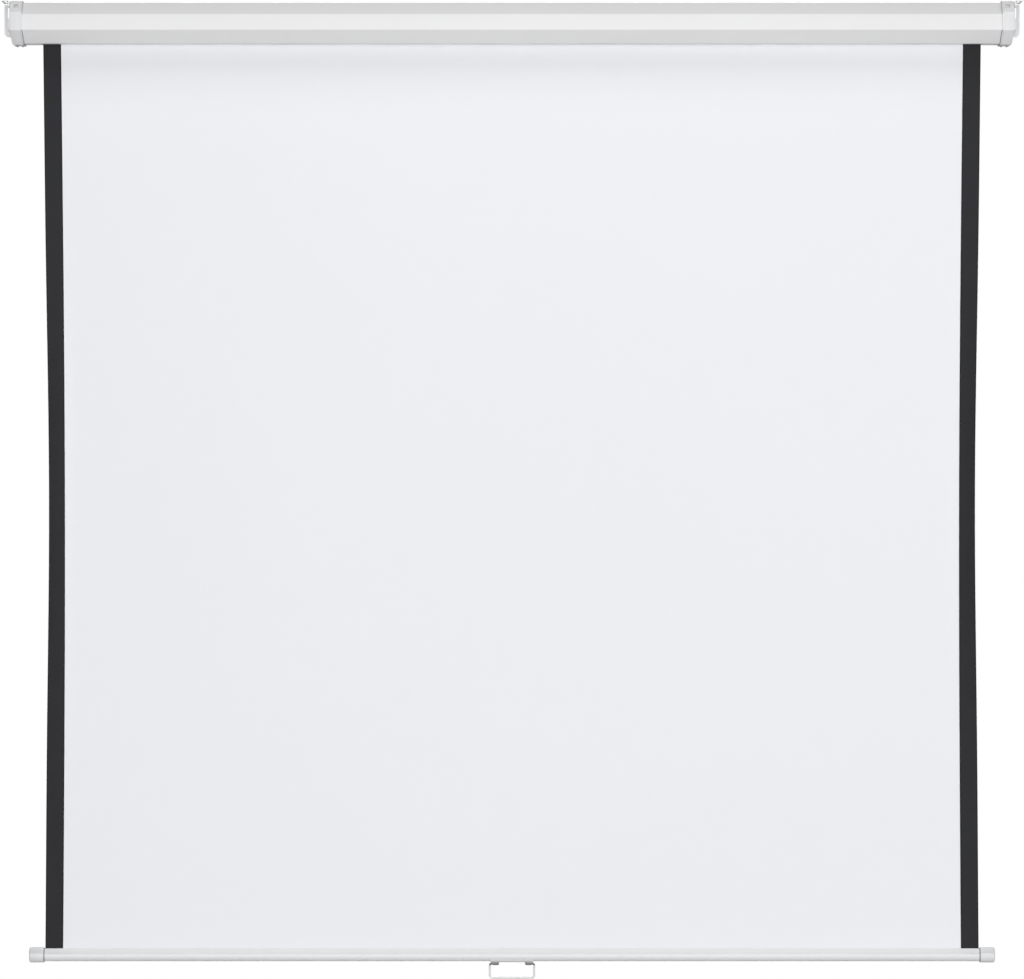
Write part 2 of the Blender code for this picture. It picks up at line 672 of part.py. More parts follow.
def make_roller(axis, white_steel, nylon, steel, fabric):
    """Everything that turns with the tube."""
    add("roller_tube", tube(-TUBE_END, TUBE_END, TUBE_RADIUS, TUBE_RADIUS - TUBE_WALL),
        white_steel, axis)
    half = FABRIC_WIDTH / 2
    add("fabric_on_roller", tube(-half, half, WRAP_OUTER, WRAP_INNER), fabric, axis)
    for name, side, bore in (("pawl_carrier", 1, BORE_RADIUS),
                             ("idler_plug", -1, IDLER_RADIUS + SEAT)):
        profile = [
            (TUBE_END - PLUG_DEPTH, bore), (TUBE_END - PLUG_DEPTH, PLUG_RADIUS - SEAT),
            (TUBE_END - PLUG_DEPTH + 2 * SEAT, PLUG_RADIUS), (FLANGE_NEAR, PLUG_RADIUS),
            (FLANGE_NEAR, FLANGE_RADIUS - SEAT), (FLANGE_NEAR + SEAT, FLANGE_RADIUS),
            (FLANGE_FAR - SEAT, FLANGE_RADIUS), (FLANGE_FAR, FLANGE_RADIUS - SEAT),
            (FLANGE_FAR, bore),
        ]
        plug = add(name, turned([(side * x, r) for x, r in profile], closed=True), nylon, axis)
        if side > 0:
            for k, azimuth in enumerate(PAWL_AZIMUTHS):
                hole = turned([(FLANGE_FAR - PIN_SINK - SEAT, PIN_RADIUS + SEAT),
                               (FLANGE_FAR + PIN_SINK, PIN_RADIUS + SEAT)], SMALL_ROUND)
                cut(plug, f"pin_hole_{k + 1}", hole, Matrix.Translation(pivot_point(azimuth)))
    pin = [
        (-(TUBE_END - PLUG_DEPTH), IDLER_RADIUS),
        (-(CAP_INSIDE - SEAT - 2 * BUSH_LIP_THICKNESS), IDLER_RADIUS),
        (-(CAP_INSIDE - SEAT - BUSH_LIP_THICKNESS), IDLER_RADIUS - BUSH_LIP_THICKNESS / 2),
    ]
    add("idler_pin", turned(pin, SMALL_ROUND), steel, axis)
    plug_near = drive_plug_far() - DRIVE_PLUG_LENGTH
    add("drive_plug", tube(plug_near, drive_plug_far(), PLUG_RADIUS, BORE_RADIUS), nylon, axis)


def pivot_point(azimuth):
    """A pawl's pivot, in the roller's frame; azimuth turns from +Y towards +Z."""
    return Vector((0, PAWL_PIVOT_RADIUS * math.cos(azimuth), PAWL_PIVOT_RADIUS * math.sin(azimuth)))


def make_idler_bush(material):
    """The bush that carries the idler pin, seated in the left end cap's boss."""
    outer = IDLER_RADIUS + SEAT + BUSH_WALL
    bore = IDLER_RADIUS + SEAT
    face = BOSS_FACE - SEAT
    deep = CAP_INSIDE - SEAT
    profile = [
        (-deep, bore), (-deep, outer), (-face, outer), (-face, outer + BUSH_LIP),
        (-face + BUSH_LIP_THICKNESS, outer + BUSH_LIP), (-face + BUSH_LIP_THICKNESS, bore),
    ]
    add("idler_bush", turned(profile, closed=True), material,
        place=Matrix.Translation((0, ROLLER_Y, 0)))


def spring_seat_far():
    return TUBE_END - PLUG_DEPTH - SPRING_INSET


def drive_plug_far():
    """The drive plug's face towards the spring."""
    return spring_seat_far() - SPRING_SEAT_THICKNESS - SPRING_LENGTH - SEAT


def make_spring(steel, nylon, spring_steel):
    """The still half of the spring motor: shaft, fixed seat and the torsion spring."""
    still = Matrix.Translation((0, ROLLER_Y, 0))
    shaft_start = drive_plug_far() - DRIVE_PLUG_LENGTH
    shaft = add("spring_shaft", turned([(shaft_start, SHAFT_RADIUS), (FLANGE_FAR, SHAFT_RADIUS)]),
                steel, place=still)
    half = TONGUE_THICKNESS / 2
    tongue = box((FLANGE_FAR - TONGUE_BITE, -half, -TONGUE_HALF), (TONGUE_END, half, TONGUE_HALF))
    fuse(shaft, "tongue", tongue, still)
    seat_far = spring_seat_far()
    seat_near = seat_far - SPRING_SEAT_THICKNESS
    add("spring_seat", tube(seat_near, seat_far, SPRING_SEAT_RADIUS, BORE_RADIUS), nylon,
        place=still)

    start = drive_plug_far() + SEAT + SPRING_WIRE
    pitch = (seat_near - SEAT - SPRING_WIRE - start) / SPRING_TURNS
    points = []
    for k in range(SPRING_TURNS * SPRING_POINTS + 1):
        turn = 2 * math.pi * k / SPRING_POINTS
        points.append(Vector((start + pitch * k / SPRING_POINTS,
                              SPRING_RADIUS * math.cos(turn), SPRING_RADIUS * math.sin(turn))))
    gap = min((a - b).length for a, b in zip(points, points[SPRING_POINTS:])) - 2 * SPRING_WIRE
    print(f"torsion_spring: least gap between neighbouring turns {gap * 1000:.2f} mm")
    curve = bpy.data.curves.new("torsion_spring", "CURVE")
    curve.dimensions = "3D"
    curve.bevel_depth = SPRING_WIRE
    curve.bevel_resolution = 1
    curve.use_fill_caps = True
    spline = curve.splines.new("POLY")
    spline.points.add(len(points) - 1)
    for point, place in zip(spline.points, points):
        point.co = (*place, 1)
    curve.materials.append(spring_steel)
    spring = bpy.data.objects.new("torsion_spring", curve)
    spring.matrix_local = still
    bpy.context.collection.objects.link(spring)


# Lock

def nose_azimuth(rho):
    """How far ahead of its pivot a pawl's nose lies, seen from the roller's axis, at a radius."""
    part = PAWL_PIVOT_RADIUS**2 + rho**2 - PAWL_LENGTH**2
    return math.acos(part / (2 * PAWL_PIVOT_RADIUS * rho))


def pawl_slope(rho):
    """The angle at the pivot between the roller's axis and a nose at that radius."""
    part = PAWL_PIVOT_RADIUS**2 + PAWL_LENGTH**2 - rho**2
    return math.acos(part / (2 * PAWL_PIVOT_RADIUS * PAWL_LENGTH))


def resting_slope():
    """The slope of a pawl whose nose runs just clear of the teeth."""
    return pawl_slope(RATCHET_TIP + PAWL_NOSE + PAWL_RUNNING_GAP)


def locked_radius():
    """The nose's radius once the pawl has turned into a notch."""
    slope = resting_slope() - PAWL_ENGAGE
    square = PAWL_PIVOT_RADIUS**2 + PAWL_LENGTH**2
    return math.sqrt(square - 2 * PAWL_PIVOT_RADIUS * PAWL_LENGTH * math.cos(slope))


def make_ratchet(material):
    """The still wheel that the pawls drop into: its steep tooth sides face the noses."""
    rho = locked_radius()
    steep = PAWL_AZIMUTHS[0] + nose_azimuth(rho) + math.asin((PAWL_NOSE + SEAT) / rho)
    outline = []
    for tooth in range(TEETH):
        start = steep + 2 * math.pi * tooth / TEETH
        for k in range(TOOTH_STEPS + 1):
            turn = start + TOOTH_SHARE * 2 * math.pi / TEETH * k / TOOTH_STEPS
            radius = RATCHET_TIP + (RATCHET_ROOT - RATCHET_TIP) * k / TOOTH_STEPS
            outline.append((radius * math.cos(turn), radius * math.sin(turn)))
    near = FLANGE_FAR + SEAT
    still = Matrix.Translation((0, ROLLER_Y, 0))
    wheel = add("ratchet_wheel", prism(outline, near, near + RATCHET_THICKNESS), material,
                place=still)
    half = TONGUE_THICKNESS / 2 + SEAT
    reach = TONGUE_HALF + SEAT
    hole = box((near - SEAT, -half, -reach), (near + RATCHET_THICKNESS + SEAT, half, reach))
    cut(wheel, "key_hole", hole, still)


def make_pawls(axis, steel, pin_steel):
    """Two pawls on pins in the carrier, drawn swung clear of the teeth."""
    near = FLANGE_FAR + SEAT
    for k, azimuth in enumerate(PAWL_AZIMUTHS):
        pivot = frame_at(f"pawl_pivot_{k + 1}", pivot_point(azimuth), axis)
        # the pawl reaches ahead of its pivot, in the sense that winds the sheet up
        heading = azimuth + math.pi - resting_slope()
        spread = math.acos((PAWL_EYE - PAWL_NOSE) / PAWL_LENGTH)
        outline = []
        for radius, reach, start, sweep in (
            (PAWL_EYE, 0, spread, 2 * (math.pi - spread)), (PAWL_NOSE, PAWL_LENGTH, -spread, 2 * spread)
        ):
            for step in range(PAWL_ARC_STEPS + 1):
                turn = heading + start + sweep * step / PAWL_ARC_STEPS
                outline.append((reach * math.cos(heading) + radius * math.cos(turn),
                                reach * math.sin(heading) + radius * math.sin(turn)))
        pawl = add(f"pawl_{k + 1}", prism(outline, near, near + PAWL_THICKNESS), steel, pivot)
        eye = circle_points(PIN_RADIUS + SEAT, SMALL_ROUND)
        cut(pawl, "eye", prism(eye, near - SEAT, near + PAWL_THICKNESS + SEAT))
        head = near + PAWL_THICKNESS + SEAT
        profile = [
            (FLANGE_FAR - PIN_SINK, PIN_RADIUS), (head, PIN_RADIUS), (head, PIN_HEAD_RADIUS),
            (head + PIN_HEAD_HEIGHT, PIN_HEAD_RADIUS),
        ]
        add(f"pawl_pin_{k + 1}", turned(profile, SMALL_ROUND), pin_steel, axis,
            Matrix.Translation(pivot_point(azimuth)))


# Sheet

def sheet_point(u, down, lift):
    """A point of the hanging sheet: u across it, down from the roller, lift towards the audience."""
    start = HALF_HEIGHT
    share = min(max((down - start) / (DROP - start), 0.0), 1.0)
    half = FABRIC_WIDTH / 2
    narrowing = HEM_NARROWING * share + WAIST * math.sin(math.pi * share)
    edge_slope = CURL_ANGLE * math.sin(math.pi * share) ** 2
    flat = half - CURL_BAND
    across = abs(u)
    slope, x, forward = 0.0, across, 0.0
    if across > flat and edge_slope > 1e-6:
        slope = edge_slope * (across - flat) / CURL_BAND
        bend = CURL_BAND / edge_slope
        x = flat + bend * math.sin(slope)
        forward = bend * (1 - math.cos(slope))
    x = x * (1 - narrowing / half) - lift * math.sin(slope)
    return Vector((math.copysign(x, u), FABRIC_Y - forward - lift * math.cos(slope), -down))


def edge_columns():
    """Distances from the sheet's middle of its columns, from the edge to the end of the curl."""
    half = FABRIC_WIDTH / 2
    tape = [half - BORDER_WIDTH * k / BORDER_STEPS for k in range(BORDER_STEPS + 1)]
    rest = CURL_BAND - BORDER_WIDTH
    return tape + [tape[-1] - rest * (k + 1) / CURL_STEPS for k in range(CURL_STEPS)]


def loop_path():
    """The hem loop, as (y, z, normal y, normal z) from the rod's middle; it starts at a tangent."""
    lips = BAR_RISE - BAR_WALL - rod_rise()
    lean_out = math.acos(LOOP_RADIUS / lips)
    start = math.pi / 2 + lean_out
    end = 5 * math.pi / 2 - lean_out - LOOP_TAIL
    found = [(0, lips, -1, 0)]
    for k in range(LOOP_STEPS + 1):
        turn = start + (end - start) * k / LOOP_STEPS
        normal = (math.cos(turn), math.sin(turn))
        found.append((LOOP_RADIUS * normal[0], LOOP_RADIUS * normal[1], *normal))
    return found


def rod_rise():
    """The rod's height over the bar's round centre, where its loop meets the inside of the slot."""
    loop = LOOP_RADIUS + FABRIC_THICKNESS / 2 + SEAT
    under_lips = BAR_RISE - BAR_WALL - loop
    foot = Vector(band_foot())
    band = (Vector((BAR_TOP_HALF, BAR_RISE)) - foot).normalized()
    normal = Vector((band.y, -band.x))
    side_distance = normal.dot(foot) - BAR_WALL
    return min(under_lips, (side_distance - loop) / normal.y)


def make_sheet(fabric):
    """The projection sheet, from the roller to its hem loop, with curled and waisted edges."""
    half = FABRIC_WIDTH / 2
    band = edge_columns()
    across = [-u for u in band] + band[::-1]
    downs = [0.0] + [HALF_HEIGHT + (DROP - HALF_HEIGHT) * k / DROP_STEPS
                     for k in range(DROP_STEPS + 1)]
    rod_z = BAR_Z + rod_rise()
    grids = []
    for lift in (FABRIC_THICKNESS / 2, -FABRIC_THICKNESS / 2):
        grid = [[sheet_point(u, down, lift) for u in across] for down in downs]
        width = 1 - HEM_NARROWING / half
        for y, z, ny, nz in loop_path():
            grid.append([Vector((u * width, FABRIC_Y + y + lift * ny, rod_z + z + lift * nz))
                         for u in across])
        grids.append(grid)
    add("projection_sheet", slab(*grids), fabric)


def make_borders(black):
    """The two black edge tapes on the sheet's face."""
    low = FABRIC_THICKNESS / 2 + SEAT
    high = low + BORDER_THICKNESS
    # the tape starts where it has left the wound turns by a clear gap
    reach = FABRIC_Y - ROLLER_Y - high
    start = math.sqrt((WRAP_OUTER + SEAT) ** 2 - reach**2)
    tape = edge_columns()[:BORDER_STEPS + 1]
    downs = [start] + [HALF_HEIGHT + (DROP - SEAT - HALF_HEIGHT) * k / DROP_STEPS
                       for k in range(DROP_STEPS + 1)]
    for side, label in ((-1, "left"), (1, "right")):
        columns = sorted(side * u for u in tape)
        front = [[sheet_point(u, down, high) for u in columns] for down in downs]
        back = [[sheet_point(u, down, low) for u in columns] for down in downs]
        add(f"border_{label}", slab(front, back), black)


# Bottom bar

def band_foot():
    """Where the slanted flat band of the bar's section ends, a shoulder's width inside the round."""
    half_crease = math.sqrt(BAR_RADIUS**2 - BAR_CREASE**2)
    return (half_crease - BAR_SHOULDER, BAR_CREASE + BAR_SHOULDER / 2)


def bar_side():
    """One side of the bar's section, from the flat top down to the middle of the round."""
    crease = math.asin(BAR_CREASE / BAR_RADIUS)
    steps = BAR_ROUND_STEPS // 2
    points = [(BAR_TOP_HALF, BAR_RISE), band_foot()]
    for k in range(steps + 1):
        turn = crease - (crease + math.pi / 2) * k / steps
        points.append((BAR_RADIUS * math.cos(turn), BAR_RADIUS * math.sin(turn)))
    return points


def bar_outline(grow=0.0):
    """The bar's closed outline, anticlockwise, moved outward by a distance."""
    right = bar_side()
    left = [(-y, z) for y, z in right]
    return offset_path(left + right[-2::-1], -grow, closed=True)


def make_bottom_bar(bar_frame, white, plastic, steel):
    """The weight bar, its two caps and the rod in the sheet's hem."""
    right = bar_side()
    lip = BAR_SLOT / 2
    path = [(-lip, BAR_RISE)] + [(-y, z) for y, z in right] + right[-2::-1] + [(lip, BAR_RISE)]
    inner = offset_path(path, BAR_WALL)
    rings = [[(-BAR_END, *a), (BAR_END, *a), (BAR_END, *b), (-BAR_END, *b)]
             for a, b in zip(path, inner)]
    bar = add("weight_bar", loft(rings), white, bar_frame)
    for k, x in enumerate(rivet_places()):
        hole = turned([(0, RIVET_SHANK + SEAT), (BAR_RADIUS * 1.5, RIVET_SHANK + SEAT)], SMALL_ROUND)
        cut(bar, f"rivet_hole_{k + 1}", hole, along((0, 0, -1), (x, 0, 0)))

    for side, label in ((-1, "left"), (1, "right")):
        stations = [
            (BAR_CAP_INNER, BAR_CAP_NECK_PROUD),
            (BAR_CAP_INNER + BAR_CAP_NECK, BAR_CAP_NECK_PROUD),
            (BAR_CAP_INNER + BAR_CAP_NECK + SEAT, BAR_CAP_PROUD),
            (BAR_CAP_OUTER - BAR_CAP_EDGE, BAR_CAP_PROUD),
            (BAR_CAP_OUTER - BAR_CAP_EDGE * 0.4, BAR_CAP_PROUD - BAR_CAP_EDGE * 0.3),
            (BAR_CAP_OUTER, BAR_CAP_PROUD - BAR_CAP_EDGE),
        ]
        rings = [[(side * x, *p) for p in bar_outline(grow)] for x, grow in stations]
        cap = add(f"bar_cap_{label}", loft(rings), plastic, bar_frame)
        room = [(side * (BAR_CAP_INNER - 0.002), *p) for p in bar_outline(SEAT)]
        deep = [(side * (BAR_CAP_OUTER - BAR_CAP_WALL), *p) for p in bar_outline(SEAT)]
        cut(cap, "room", loft([room, deep]))
        fit = -BAR_WALL - SEAT
        plug_end = BAR_CAP_OUTER - BAR_CAP_WALL - BAR_CAP_PLUG
        tip = [(side * plug_end, *p) for p in bar_outline(2 * fit)]
        full = [(side * (plug_end + BAR_WALL), *p) for p in bar_outline(fit)]
        root = [(side * (BAR_CAP_OUTER - BAR_CAP_WALL / 2), *p) for p in bar_outline(fit)]
        fuse(cap, "plug", loft([tip, full, root]))
    rod_end = FABRIC_WIDTH / 2 - HEM_NARROWING - SEAT
    rod = turned([(-rod_end, ROD_RADIUS), (rod_end, ROD_RADIUS)], 16)
    add("hem_rod", rod, steel, bar_frame, Matrix.Translation((0, 0, rod_rise())))


# Pull handle

def rivet_places():
    return (-RIVET_SPACING / 2, RIVET_SPACING / 2)


def flared_barrel(side):
    """A curled barrel for one of the bail's pins, longer along its top, where it leaves the plate."""
    rings = []
    for end, way in ((BARREL_INSIDE, -1), (BARREL_OUTSIDE, 1)):
        for radius in (BARREL_BORE, BARREL_RADIUS)[::way]:
            rings.append([
                (side * (end + way * BARREL_FLARE * z / BARREL_RADIUS), y, z)
                for y, z in circle_points(radius, BARREL_SIDES)
            ])
    return loft(rings, closed=True)


def make_handle_plate(bar_frame, white, steel):
    """The saddle plate under the bar, with two curled barrels, and its rivets."""
    inner = BAR_RADIUS + SEAT
    outer = inner + PLATE_SHEET
    steps = 12
    rings = []
    half = PLATE_LENGTH / 2
    for k in range(steps + 1):
        turn = -math.pi / 2 - PLATE_WRAP + 2 * PLATE_WRAP * k / steps
        way = (math.cos(turn), math.sin(turn))
        rings.append([(x, r * way[0], r * way[1])
                      for x, r in ((-half, outer), (half, outer), (half, inner), (-half, inner))])
    plate = add("handle_plate", loft(rings), white, bar_frame)
    for side in (-1, 1):
        fuse(plate, f"barrel_{side + 2}", flared_barrel(side), Matrix.Translation((0, 0, -PIVOT_DROP)))
    for k, x in enumerate(rivet_places()):
        place = along((0, 0, -1), (x, 0, 0))
        sink = outer - RIVET_SINK
        flare = (RIVET_HEAD - RIVET_SHANK) / RIVET_SINK
        hole = turned([
            (0, RIVET_SHANK + SEAT), (sink, RIVET_SHANK + SEAT),
            (outer + BITE, RIVET_HEAD + SEAT + flare * BITE),
        ], SMALL_ROUND)
        cut(plate, f"rivet_hole_{k + 1}", hole, place)
        tail = math.sqrt((BAR_RADIUS - BAR_WALL - 2 * SEAT) ** 2 - RIVET_TAIL**2)
        profile = [
            (tail - RIVET_DOME, RIVET_SHANK), (tail - RIVET_DOME / 2, RIVET_TAIL),
            (tail, RIVET_TAIL), (tail, RIVET_SHANK), (sink, RIVET_SHANK), (outer, RIVET_HEAD),
        ]
        add(f"handle_rivet_{k + 1}", turned(profile, SMALL_ROUND), steel, bar_frame, place)


def make_bail(pivot, white):
    """The wire bail: two pins in the barrels, bent down into a loop for the fingers."""
    side_x = BAIL_WIDTH / 2 - WIRE_RADIUS
    bottom = -(BAIL_REACH - PIVOT_DROP + BAR_RADIUS - WIRE_RADIUS)
    path = [(BARREL_INSIDE + SEAT, 0)]
    for centre, radius, start in (
        ((side_x - BAIL_BEND, -BAIL_BEND), BAIL_BEND, math.pi / 2),
        ((side_x - BAIL_CORNER, bottom + BAIL_CORNER), BAIL_CORNER, 0),
    ):
        for k in range(7):
            turn = start - math.pi / 2 * k / 6
            path.append((centre[0] + radius * math.cos(turn), centre[1] + radius * math.sin(turn)))
    path = path + [(-x, z) for x, z in reversed(path)]
    curve = bpy.data.curves.new("handle_bail", "CURVE")
    curve.dimensions = "3D"
    curve.bevel_depth = WIRE_RADIUS
    curve.bevel_resolution = 4
    curve.use_fill_caps = True
    spline = curve.splines.new("POLY")
    spline.points.add(len(path) - 1)
    for point, (x, z) in zip(spline.points, path):
        point.co = (x, 0, z, 1)
    curve.materials.append(white)
    bail = bpy.data.objects.new("handle_bail", curve)
    bail.parent = pivot
    bpy.context.collection.objects.link(bail)


def main():
    for obj in list(bpy.data.objects):
        bpy.data.objects.remove(obj, do_unlink=True)
    coat = finish("white powder coat", (0.79, 0.80, 0.81), 0.38)
    plastic = finish("white moulded plastic", (0.77, 0.78, 0.79), 0.42)
    fabric = finish("matte white screen fabric", (0.82, 0.83, 0.86), 0.9)
    black = finish("black edge tape", (0.012, 0.012, 0.014), 0.75)
    zinc = finish("zinc plated steel", (0.62, 0.63, 0.64), 0.35, 1.0)
    spring_steel = finish("oiled spring steel", (0.16, 0.16, 0.17), 0.4, 1.0)
    nylon = finish("natural nylon", (0.72, 0.71, 0.66), 0.5)

    make_casing(coat)
    for side, label in ((-1, "left"), (1, "right")):
        make_end_cap(side, label, plastic)
        make_bracket(side, label, coat)
        make_end_screws(side, label, zinc)
    # the left boss holds the idler bush, the right one the shaft's flat tongue
    still = Matrix.Translation((0, ROLLER_Y, 0))
    seat = IDLER_RADIUS + BUSH_WALL + 2 * SEAT
    cut(bpy.data.objects["end_cap_left"], "bush_seat",
        turned([(-CAP_INSIDE, seat), (SEAT - BOSS_FACE, seat)]), still)
    half = TONGUE_THICKNESS / 2 + SEAT
    reach = TONGUE_HALF + SEAT
    cut(bpy.data.objects["end_cap_right"], "tongue_socket",
        box((BOSS_FACE - SEAT, -half, -reach), (TONGUE_END + SEAT, half, reach)), still)

    axis = frame_at("roller_axis", (0, ROLLER_Y, 0))
    make_roller(axis, coat, nylon, zinc, fabric)
    make_idler_bush(nylon)
    make_spring(zinc, nylon, spring_steel)
    make_ratchet(zinc)
    make_pawls(axis, zinc, zinc)

    make_sheet(fabric)
    make_borders(black)
    bar_frame = frame_at("bottom_bar_frame", (0, FABRIC_Y, BAR_Z))
    make_bottom_bar(bar_frame, coat, plastic, zinc)
    make_handle_plate(bar_frame, coat, zinc)
    make_bail(frame_at("handle_pivot", (0, 0, -PIVOT_DROP), bar_frame), coat)


main()
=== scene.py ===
# %% [markdown]
# # A pull-down projector screen
# This lesson dresses a finished mechanical model. The origin is the centre of the casing's flat
# back. The rigid pieces keep their CAD shape and get real finishes; the cloth sheet and its two
# edge tapes are made here, because cloth needs a finer mesh than a mechanical model.

# %% The frame
import json
import math

import bmesh
import bpy
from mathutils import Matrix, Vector


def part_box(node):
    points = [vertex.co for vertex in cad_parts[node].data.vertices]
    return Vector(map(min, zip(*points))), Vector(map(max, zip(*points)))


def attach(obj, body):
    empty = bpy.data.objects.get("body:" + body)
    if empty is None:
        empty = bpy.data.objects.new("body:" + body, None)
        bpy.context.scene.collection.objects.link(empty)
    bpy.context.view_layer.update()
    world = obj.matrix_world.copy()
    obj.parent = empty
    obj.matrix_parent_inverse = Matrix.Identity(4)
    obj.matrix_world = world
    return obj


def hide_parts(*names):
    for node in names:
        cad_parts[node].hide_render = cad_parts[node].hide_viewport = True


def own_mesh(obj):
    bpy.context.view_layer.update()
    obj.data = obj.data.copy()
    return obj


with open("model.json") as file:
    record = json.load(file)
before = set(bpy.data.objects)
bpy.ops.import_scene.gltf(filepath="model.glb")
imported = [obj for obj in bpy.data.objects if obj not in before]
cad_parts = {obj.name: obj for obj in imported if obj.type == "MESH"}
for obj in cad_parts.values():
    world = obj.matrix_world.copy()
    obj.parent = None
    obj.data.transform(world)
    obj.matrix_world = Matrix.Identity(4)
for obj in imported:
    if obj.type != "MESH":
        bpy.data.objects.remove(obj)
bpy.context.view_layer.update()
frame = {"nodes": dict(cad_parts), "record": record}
nodes = frame["nodes"]

# %% [markdown]
# ## The camera
# The photograph was taken from far away and straight on, with a long lens: the depth of the casing
# hardly shows. A camera without perspective would be close, but it would lose the little that does
# show, so this one stands 7.5 m from the sheet. At that distance the picture's 1024 pixels span
# 1.638 m, and this gives the focal length on a 36 mm sensor.

# %% Camera
SHEET_Y = -0.0105
VIEW_DISTANCE = 7.5
EYE_HEIGHT = -0.744
PIXELS_ACROSS = 1024
MM_PER_PIXEL = 1.6
SENSOR_MM = 36.0

scene = bpy.context.scene
camera_data = bpy.data.cameras.new("long lens")
camera_data.sensor_fit = "HORIZONTAL"
camera_data.sensor_width = SENSOR_MM
camera_data.lens = SENSOR_MM * VIEW_DISTANCE / (PIXELS_ACROSS * MM_PER_PIXEL / 1000)
camera_data.clip_end = 60.0
camera = bpy.data.objects.new("camera", camera_data)
camera.location = (0.0, SHEET_Y - VIEW_DISTANCE, EYE_HEIGHT)
camera.rotation_euler = (math.radians(90), 0.0, 0.0)
scene.collection.objects.link(camera)
scene.camera = camera
print(f"lens {camera_data.lens:.1f} mm")

# %% [markdown]
# ## Studio light
# Almost everything here is white, so the light has to separate one white face from the next. A
# large soft lamp stands in front, close to the camera's line. It makes faces that look forward
# brighter than the slanted ones. A long lamp overhead lifts the casing's upper chamfer, and two
# weaker ones from the sides reach the ears behind the end caps. One behind the screen shows its
# back to a camera that walks round it. The world adds a faint even glow. Each row of the table
# gives a lamp's name, its place, the point it looks at, its size and its watts.
# The background has to be pure white. A white world would be simpler, but it would light every
# face alike. So a helper picks out the rays that look at the background, straight from the camera,
# in a reflection or through something clear, and only those see white.

# %% World and lamps
GLOW = 0.03
LAMPS = [
    ("front lamp", (0.0, -5.6, -0.8), (0.0, 0.0, -0.75), (2.4, 2.4), 142),
    ("overhead lamp", (0.0, -1.3, 2.4), (0.0, 0.0, 0.0), (3.0, 1.0), 32),
    ("left lamp", (-2.6, -4.6, -1.0), (0.0, 0.0, -0.8), (1.8, 1.8), 50),
    ("right lamp", (3.0, -3.6, -0.5), (0.0, 0.0, -0.7), (1.6, 2.4), 50),
    ("back lamp", (0.0, 4.2, 2.3), (0.0, 0.0, -0.75), (3.0, 1.4), 135),
]

scene.view_settings.view_transform = "Standard"


def background_rays(tree):
    rays = tree.nodes.new("ShaderNodeLightPath")
    seen = tree.nodes.new("ShaderNodeMath")
    seen.operation = "MAXIMUM"
    tree.links.new(rays.outputs["Is Camera Ray"], seen.inputs[0])
    through = tree.nodes.new("ShaderNodeMath")
    through.operation = "MAXIMUM"
    tree.links.new(rays.outputs["Is Glossy Ray"], through.inputs[0])
    tree.links.new(rays.outputs["Is Transmission Ray"], through.inputs[1])
    tree.links.new(through.outputs[0], seen.inputs[1])
    return seen.outputs[0]


def make_world():
    world = bpy.data.worlds.new("white studio")
    world.use_nodes = True
    tree = world.node_tree
    tree.nodes.clear()
    glow = tree.nodes.new("ShaderNodeBackground")
    glow.inputs["Color"].default_value = (1, 1, 1, 1)
    glow.inputs["Strength"].default_value = GLOW
    white = tree.nodes.new("ShaderNodeBackground")
    white.inputs["Color"].default_value = (1, 1, 1, 1)
    white.inputs["Strength"].default_value = 1.0
    mix = tree.nodes.new("ShaderNodeMixShader")
    tree.links.new(background_rays(tree), mix.inputs[0])
    tree.links.new(glow.outputs[0], mix.inputs[1])
    tree.links.new(white.outputs[0], mix.inputs[2])
    out = tree.nodes.new("ShaderNodeOutputWorld")
    tree.links.new(mix.outputs[0], out.inputs["Surface"])
    scene.world = world


def soft_lamp(name, place, aim, size, watts):
    data = bpy.data.lights.new(name, "AREA")
    data.shape = "RECTANGLE"
    data.size, data.size_y = size
    data.energy = watts
    lamp = bpy.data.objects.new(name, data)
    lamp.location = place
    lamp.rotation_euler = (Vector(aim) - Vector(place)).to_track_quat("-Z", "Y").to_euler()
    scene.collection.objects.link(lamp)


make_world()
for lamp_row in LAMPS:
    soft_lamp(*lamp_row)

# %% [markdown]
# ## The floor
# The screen hangs, so nothing touches the floor. It lies well below and is only seen from other
# angles, where it catches the screen's shadow. White paint would be the plain choice, but it would
# throw much light up at the screen. So the paint is a middle grey, and the rays that look at the
# background see most of it as white, so that it looks pale.

# %% Floor
FLOOR_Z = -2.0
FLOOR_HALF = 3.4
FLOOR_TONE = 0.45
FLOOR_ROUGHNESS = 0.85
FLOOR_PALENESS = 0.75


def floor_paint():
    paint = bpy.data.materials.new("pale floor")
    paint.use_nodes = True
    tree = paint.node_tree
    shader = tree.nodes["Principled BSDF"]
    shader.inputs["Base Color"].default_value = (FLOOR_TONE, FLOOR_TONE, FLOOR_TONE, 1)
    shader.inputs["Roughness"].default_value = FLOOR_ROUGHNESS
    white = tree.nodes.new("ShaderNodeEmission")
    white.inputs["Color"].default_value = (1, 1, 1, 1)
    share = tree.nodes.new("ShaderNodeMath")
    share.operation = "MULTIPLY"
    share.inputs[1].default_value = FLOOR_PALENESS
    tree.links.new(background_rays(tree), share.inputs[0])
    mix = tree.nodes.new("ShaderNodeMixShader")
    tree.links.new(share.outputs[0], mix.inputs[0])
    tree.links.new(shader.outputs[0], mix.inputs[1])
    tree.links.new(white.outputs[0], mix.inputs[2])
    tree.links.new(mix.outputs[0], tree.nodes["Material Output"].inputs["Surface"])
    return paint


def make_floor():
    bm = bmesh.new()
    bmesh.ops.create_grid(bm, x_segments=1, y_segments=1, size=FLOOR_HALF)
    mesh = bpy.data.meshes.new("floor")
    bm.to_mesh(mesh)
    bm.free()
    mesh.materials.append(floor_paint())
    floor = bpy.data.objects.new("floor", mesh)
    floor.location = (0, 0, FLOOR_Z)
    scene.collection.objects.link(floor)


make_floor()
print(f"floor {2 * FLOOR_HALF} m wide, {-FLOOR_Z} m below the casing's middle")

